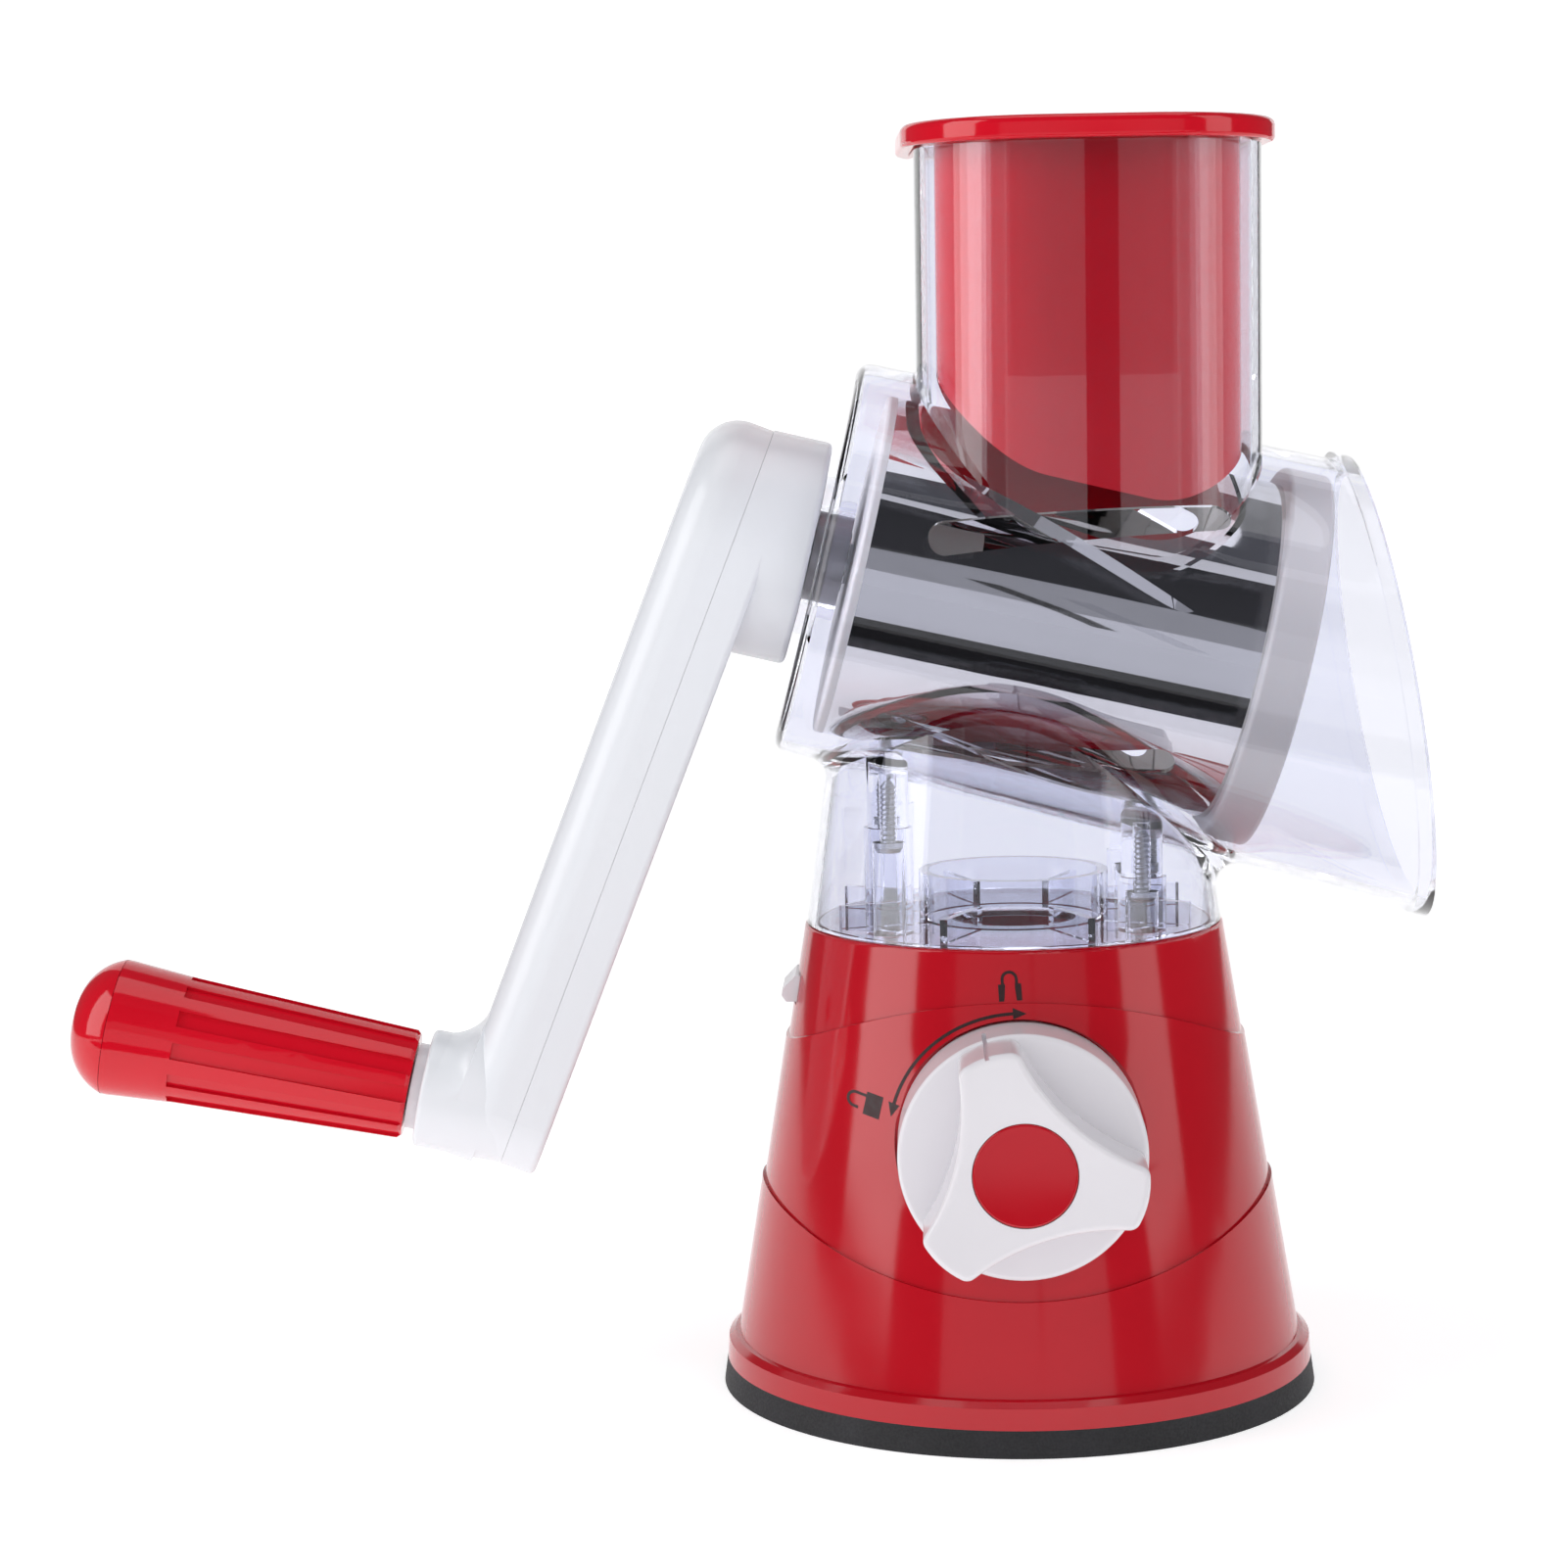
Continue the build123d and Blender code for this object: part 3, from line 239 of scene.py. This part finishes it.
# %% [markdown]
# ## Steels
# The drum is stainless sheet, rolled and then mirror polished round its axis, so its reflections are
# sharp but drawn out a little along the drum. The shaft is turned bar with a fine thread of tool
# marks, and the screws are zinc plated. All three are plain metal: metallic 1, and only the
# roughness and the direction of the marks differ.


# %% Steels
def worked_steel(name, dark, bright, gloss, mark_mm, mark_depth_mm, axis, wave_mm=0.0):
    """Bare metal with fine marks that run round the given axis, and a slow wave in its sheet."""
    material, tree, place = start_material(name)
    reach = add(tree, "ShaderNodeVectorMath", {0: place, 1: axis}, operation="DOT_PRODUCT")
    marks = add(
        tree, "ShaderNodeTexNoise",
        {"W": reach.outputs["Value"], "Scale": per_metre(mark_mm), "Detail": 4.0}, noise_dimensions="1D",
    ).outputs["Fac"]
    tone = two_colours(tree, spread(tree, speckle(tree, place, 25.0), 0.0, 1.0), dark, bright)
    rough = spread(tree, marks, gloss * 0.8, gloss * 1.5)
    wave = bump(tree, speckle(tree, place, 30.0, 0.0), wave_mm)
    shader = add(tree, "ShaderNodeBsdfPrincipled", {
        "Base Color": tone, "Metallic": 1.0, "Roughness": rough,
        "Normal": bump(tree, marks, mark_depth_mm, wave),
    })
    finish_material(tree, shader.outputs[0])
    return material


TILT = math.radians(13.75)
DRUM_AXIS = Vector((math.cos(TILT), 0, -math.sin(TILT)))
mirror_steel = worked_steel(
    "mirror_polished_stainless", "#DAD9D8", "#DFDEDD", 0.02, 1.6, 0.0002, DRUM_AXIS, wave_mm=0.12
)
turned_steel = worked_steel("turned_steel_bar", "#9FA1A5", "#B2B4B8", 0.24, 0.35, 0.004, DRUM_AXIS)
zinc_steel = worked_steel("zinc_plated_steel", "#A9ABAE", "#BDBFC3", 0.28, 0.6, 0.002, Vector((0, 0, 1)))
print("made", mirror_steel.name, turned_steel.name, zinc_steel.name)

# %% [markdown]
# ## Rubber
# The foot and cup are black nitrile rubber, moulded in a lightly blasted tool. It is matt with a fine
# grain, and dust settles in the grain as a faint grey bloom.

# %% Rubber
rubber, tree, place = start_material("black_nitrile_rubber")
bloom = spread(tree, speckle(tree, place, 14.0, 5.0), 0.0, 1.0, 0.45, 0.8)
grain = speckle(tree, place, 0.5, 3.0)
shader = add(tree, "ShaderNodeBsdfPrincipled", {
    "Base Color": two_colours(tree, bloom, "#17171B", "#222228"),
    "Roughness": spread(tree, grain, 0.55, 0.75), "IOR": 1.52,
    "Normal": bump(tree, grain, 0.03),
})
finish_material(tree, shader.outputs[0])
print("made", rubber.name)

# %% [markdown]
# ## Finishes on the solids
# The record names a material slot for every node, so most finishes follow from the slot. The red and
# white pieces differ among themselves, so those that leave their slot's finish are named one by one.

# %% Give the solids their finishes
by_slot = {
    "red_gloss": red_abs, "white_plastic": crank_white, "clear_plastic": clear,
    "polished_steel": mirror_steel, "shaft_steel": turned_steel, "screw_steel": zinc_steel,
    "black_rubber": rubber,
}
by_node = {
    "suction_knob": knob_white, "release_latch": knob_white,
    # The pusher and grip take the brighter copy of the red, which is painted light.
    "food_pusher": painted_lit_red_abs, "pusher_cover": painted_lit_red_abs,
    "hand_grip": painted_lit_red_abs, "grip_end_cap": painted_lit_red_abs,
    "drum_front_ring": milky_white, "drum_rear_hub": milky_white, "shaft_bush": milky_white,
}
for part in frame["record"]["subparts"]:
    name = part["node"]
    finish = by_node.get(name, by_slot[part["material_slot"]])
    mesh = nodes[name].data
    mesh.materials.clear()
    mesh.materials.append(finish)
print("finished", len(nodes), "solids")

# %% [markdown]
# ## Printed marks
# A thin dark arrow curves round the knob from an open padlock to a closed one. Real marks are pad
# printed ink a few hundredths of a millimetre thick. They could be a mask in the red material, but as
# flat shapes laid on the moulding they stay sharp at any zoom. Each point is drawn on the front
# view and dropped straight back onto the base.

# %% Ink
ink, tree, place = start_material("pad_printed_ink")
worn = spread(tree, speckle(tree, place, 1.1, 3.0), 0.0, 1.0, 0.3, 0.7)
shader = add(tree, "ShaderNodeBsdfPrincipled", {
    "Base Color": two_colours(tree, worn, "#2A1517", "#3A181B"),
    "Roughness": spread(tree, worn, 0.35, 0.5), "IOR": 1.5,
})
finish_material(tree, shader.outputs[0])

# %% Drop flat shapes onto the base
KNOB_HEIGHT = 57.0
BASE_TURN = Matrix.Rotation(math.radians(-2.3), 4, "Z")
RAY_START = -120.0
INK_LIFT = 0.05
ARROW_RADIUS = 25.3
ARROW_LINE = 0.6
ARROW_HEAD = 2.6
ARROW_FROM = -73.0
ARROW_TO = -3.0
ARROW_STEPS = 48
CLOSED_LOCK = (30.8, -3.5)  # radius and clock angle
OPEN_LOCK = (30.6, -77.0)
base_surface = BVHTree.FromObject(nodes["base_shell"], bpy.context.evaluated_depsgraph_get())


def onto_base(across, above_knob):
    """A point of the front view, in millimetres from the knob's axis, laid on the moulding."""
    start = BASE_TURN @ Vector((across, RAY_START, KNOB_HEIGHT + above_knob)) * MM
    hit, normal, _, _ = base_surface.ray_cast(start, BASE_TURN @ Vector((0, 1, 0)))
    return hit + normal * INK_LIFT * MM


def at_clock(radius, angle):
    """Front view point at an angle from straight up, clockwise positive."""
    a = math.radians(angle)
    return Vector((radius * math.sin(a), radius * math.cos(a)))


def ribbon(points, width):
    """A strip of flat quads along a line of front view points."""
    corners = []
    for i, point in enumerate(points):
        ahead = points[min(i + 1, len(points) - 1)] - points[max(i - 1, 0)]
        side = Vector((-ahead.y, ahead.x)).normalized() * width / 2
        corners += [point + side, point - side]
    quads = [(2 * i, 2 * i + 1, 2 * i + 3, 2 * i + 2) for i in range(len(points) - 1)]
    return corners, quads


def arrow_head(angle, direction):
    """A solid triangle with its tip at an angle, pointing along the arc."""
    length = math.degrees(ARROW_HEAD / ARROW_RADIUS)
    tip = at_clock(ARROW_RADIUS, angle + direction * length)
    feet = [at_clock(ARROW_RADIUS + side * ARROW_HEAD * 0.42, angle) for side in (-1, 1)]
    return [tip] + feet, [(0, 1, 2)]


def padlock(centre, turn, is_open):
    """A padlock 4.4 mm wide: a body and a shackle, which is lifted off one side when open."""
    half, height, line = 2.2, 3.2, 0.55
    bow_radius, bow_rise, bow_sunk = 1.35, 0.9, -0.2
    body = [Vector((-half, -height)), Vector((half, -height)), Vector((half, 0)), Vector((-half, 0))]
    lift = 1.1 if is_open else 0.0
    bow = [Vector((-bow_radius, lift if is_open else bow_sunk))]
    for degrees in range(0, 181, 15):
        a = math.radians(degrees)
        across = bow_radius * math.cos(math.pi - a)
        bow.append(Vector((across, lift + bow_rise + bow_radius * math.sin(a))))
    bow.append(Vector((bow_radius, bow_sunk)))
    turned = Matrix.Rotation(math.radians(-turn), 2)
    shapes = [(body, [(0, 1, 2, 3)]), ribbon(bow, line)]
    return [([centre + turned @ point for point in points], faces) for points, faces in shapes]


# %% Arrow and padlocks
step = (ARROW_TO - ARROW_FROM) / ARROW_STEPS
arc = [at_clock(ARROW_RADIUS, ARROW_FROM + step * i) for i in range(ARROW_STEPS + 1)]
shapes = [ribbon(arc, ARROW_LINE), arrow_head(ARROW_FROM, -1), arrow_head(ARROW_TO, 1)]
shapes += padlock(at_clock(*CLOSED_LOCK), CLOSED_LOCK[1], False)
shapes += padlock(at_clock(*OPEN_LOCK), OPEN_LOCK[1], True)

points, faces = [], []
for outline, polygons in shapes:
    faces += [[len(points) + i for i in polygon] for polygon in polygons]
    points += [onto_base(p.x, p.y) for p in outline]
mesh = bpy.data.meshes.new("knob_marks")
mesh.from_pydata(points, [], faces)
mesh.materials.append(ink)
marks = bpy.data.objects.new("knob_marks", mesh)
bpy.context.scene.collection.objects.link(marks)
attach(marks, "base")
print("marks:", len(faces), "faces")

# %% [markdown]
# ## Studio
# The photo was taken on white paper that runs up behind the object. Two softboxes stand in front at
# either side, one hangs above, and pale panels stand behind the camera. The reflections in the red
# gloss and in the drum show how dark the rest of the room is, so the paper closes round the object
# for the camera alone: its sides are left out of reflections and of the light on the object, and its
# front gives light but isn't reflected.

# %% Paper sweep
FLOOR_RADIUS = 1.7
WALL_CURVE = 0.6
WALL_HEIGHT = 2.2
SWEEP_SIDES = 96

paper, tree, place = start_material("white_paper_sweep")
fibre = speckle(tree, place, 3.0, 4.0)
shader = add(tree, "ShaderNodeBsdfPrincipled", {
    "Base Color": two_colours(tree, fibre, "#E0E0E1", "#E6E6E6"), "Roughness": 0.9,
    "Emission Color": linear("#FFFFFF"), "Emission Strength": 0.6,
})
finish_material(tree, shader.outputs[0])
paper.cycles.emission_sampling = "NONE"  # so large a sheet is found without being aimed at


def turned_sheet(name, profile, first, last):
    """A sheet turned about Z between two of the sweep's sides, from (radius, height) points."""
    points, faces = [], []
    for radius, height in profile:
        for i in range(first, last + 1):
            a = 2 * math.pi * i / SWEEP_SIDES
            points.append((-radius * math.sin(a), -radius * math.cos(a), height))
    row = last - first + 1
    for level in range(len(profile) - 1):
        for i in range(row - 1):
            low, high = level * row + i, (level + 1) * row + i
            faces.append((low, low + 1, high + 1, high))
    mesh = bpy.data.meshes.new(name)
    mesh.from_pydata(points, [], faces)
    for polygon in mesh.polygons:
        polygon.use_smooth = True
    mesh.materials.append(paper)
    sheet = bpy.data.objects.new(name, mesh)
    bpy.context.scene.collection.objects.link(sheet)
    return sheet


flat = [(0.0, 0.0), (0.4, 0.0), (0.8, 0.0), (FLOOR_RADIUS - WALL_CURVE, 0.0)]
curve = [
    (FLOOR_RADIUS - WALL_CURVE + WALL_CURVE * math.sin(math.radians(a)),
     WALL_CURVE - WALL_CURVE * math.cos(math.radians(a)))
    for a in range(0, 91, 6)
]
curve += [(FLOOR_RADIUS, WALL_HEIGHT)]
turned_sheet("paper_floor", flat, 0, SWEEP_SIDES)
turned_sheet("paper_back", curve, 39, 57)
for name, first, last in (("paper_left", 9, 39), ("paper_right", 57, 87), ("paper_front", -9, 9)):
    side = turned_sheet(name, curve, first, last)
    side.visible_glossy = False
    side.visible_diffuse = name == "paper_front"
print("floor radius:", FLOOR_RADIUS, "m")


# %% Lamps
def softbox(name, place, target, width, height, watts):
    lamp = bpy.data.lights.new(name, "AREA")
    lamp.shape = "RECTANGLE"
    lamp.size, lamp.size_y, lamp.energy = width, height, watts
    box = bpy.data.objects.new(name, lamp)
    box.location = place
    box.rotation_mode = "QUATERNION"
    box.rotation_quaternion = (Vector(target) - Vector(place)).to_track_quat("-Z", "Y")
    box.visible_camera = False
    bpy.context.scene.collection.objects.link(box)


middle = (0.0, 0.0, 0.13)
softbox("left_softbox", (-0.96, -0.33, 0.55), middle, 0.62, 1.05, 5.4)
softbox("right_softbox", (0.91, -0.41, 0.55), middle, 0.48, 1.05, 2.4)
softbox("top_softbox", (0.0, -0.05, 1.2), middle, 0.9, 0.7, 2.4)


# %% Panels and cards behind the camera
def panel(name, corners, colour, glow):
    """A flat sheet that shows only in reflections."""
    mesh = bpy.data.meshes.new(name)
    mesh.from_pydata(corners, [], [(0, 1, 2, 3)])
    felt, tree, place = start_material(name)
    tone = two_colours(tree, speckle(tree, place, 4.0), colour, "#1A1A1C" if glow == 0 else colour)
    shader = add(tree, "ShaderNodeBsdfPrincipled", {
        "Base Color": tone, "Roughness": 1.0,
        "Emission Color": linear("#F4F5FA"), "Emission Strength": glow,
    })
    finish_material(tree, shader.outputs[0])
    felt.cycles.emission_sampling = "NONE"
    mesh.materials.append(felt)
    card = bpy.data.objects.new(name, mesh)
    card.visible_camera = False
    card.visible_shadow = False
    card.visible_diffuse = False
    bpy.context.scene.collection.objects.link(card)


def upright(left, right, low, high, y):
    """Corners of a card that stands across the room."""
    return [(left, y, low), (right, y, low), (right, y, high), (left, y, high)]


def lying(left, right, front, back):
    """Corners of a card that lies just above the table."""
    outline = ((left, front), (right, front), (right, back), (left, back))
    return [(x, y, CARD_LIFT) for x, y in outline]


PANEL_Y = -1.1
PANEL_HALF = 0.75
ROOM_HALF = 1.0
CARD_LIFT = 0.002
panel("low_panel", upright(-PANEL_HALF, PANEL_HALF, 0.0, 0.2, PANEL_Y), "#404040", 0.72)
panel("high_panel", upright(-PANEL_HALF, PANEL_HALF, 0.2, 0.46, PANEL_Y), "#404040", 0.36)
panel("dark_room", upright(-ROOM_HALF, ROOM_HALF, 0.46, 1.4, PANEL_Y - 0.02), "#202022", 0.03)
panel("camera_gap", upright(0.103, 0.119, 0.08, 0.33, PANEL_Y + 0.01), "#0E0E10", 0.0)
panel("table_front", lying(-PANEL_HALF, PANEL_HALF, PANEL_Y, -0.30), "#404040", 0.7)
panel("table_edge", lying(-PANEL_HALF, PANEL_HALF, -0.30, -0.15), "#0E0E10", 0.0)

# %% Air of the room
world = bpy.data.worlds.new("studio_air")
world.use_nodes = True
world.node_tree.nodes["Background"].inputs[0].default_value = linear("#F0F2FA")
world.node_tree.nodes["Background"].inputs[1].default_value = 0.12
bpy.context.scene.world = world
bpy.context.scene.view_settings.view_transform = "Standard"
print("lamps:", len(bpy.data.lights))
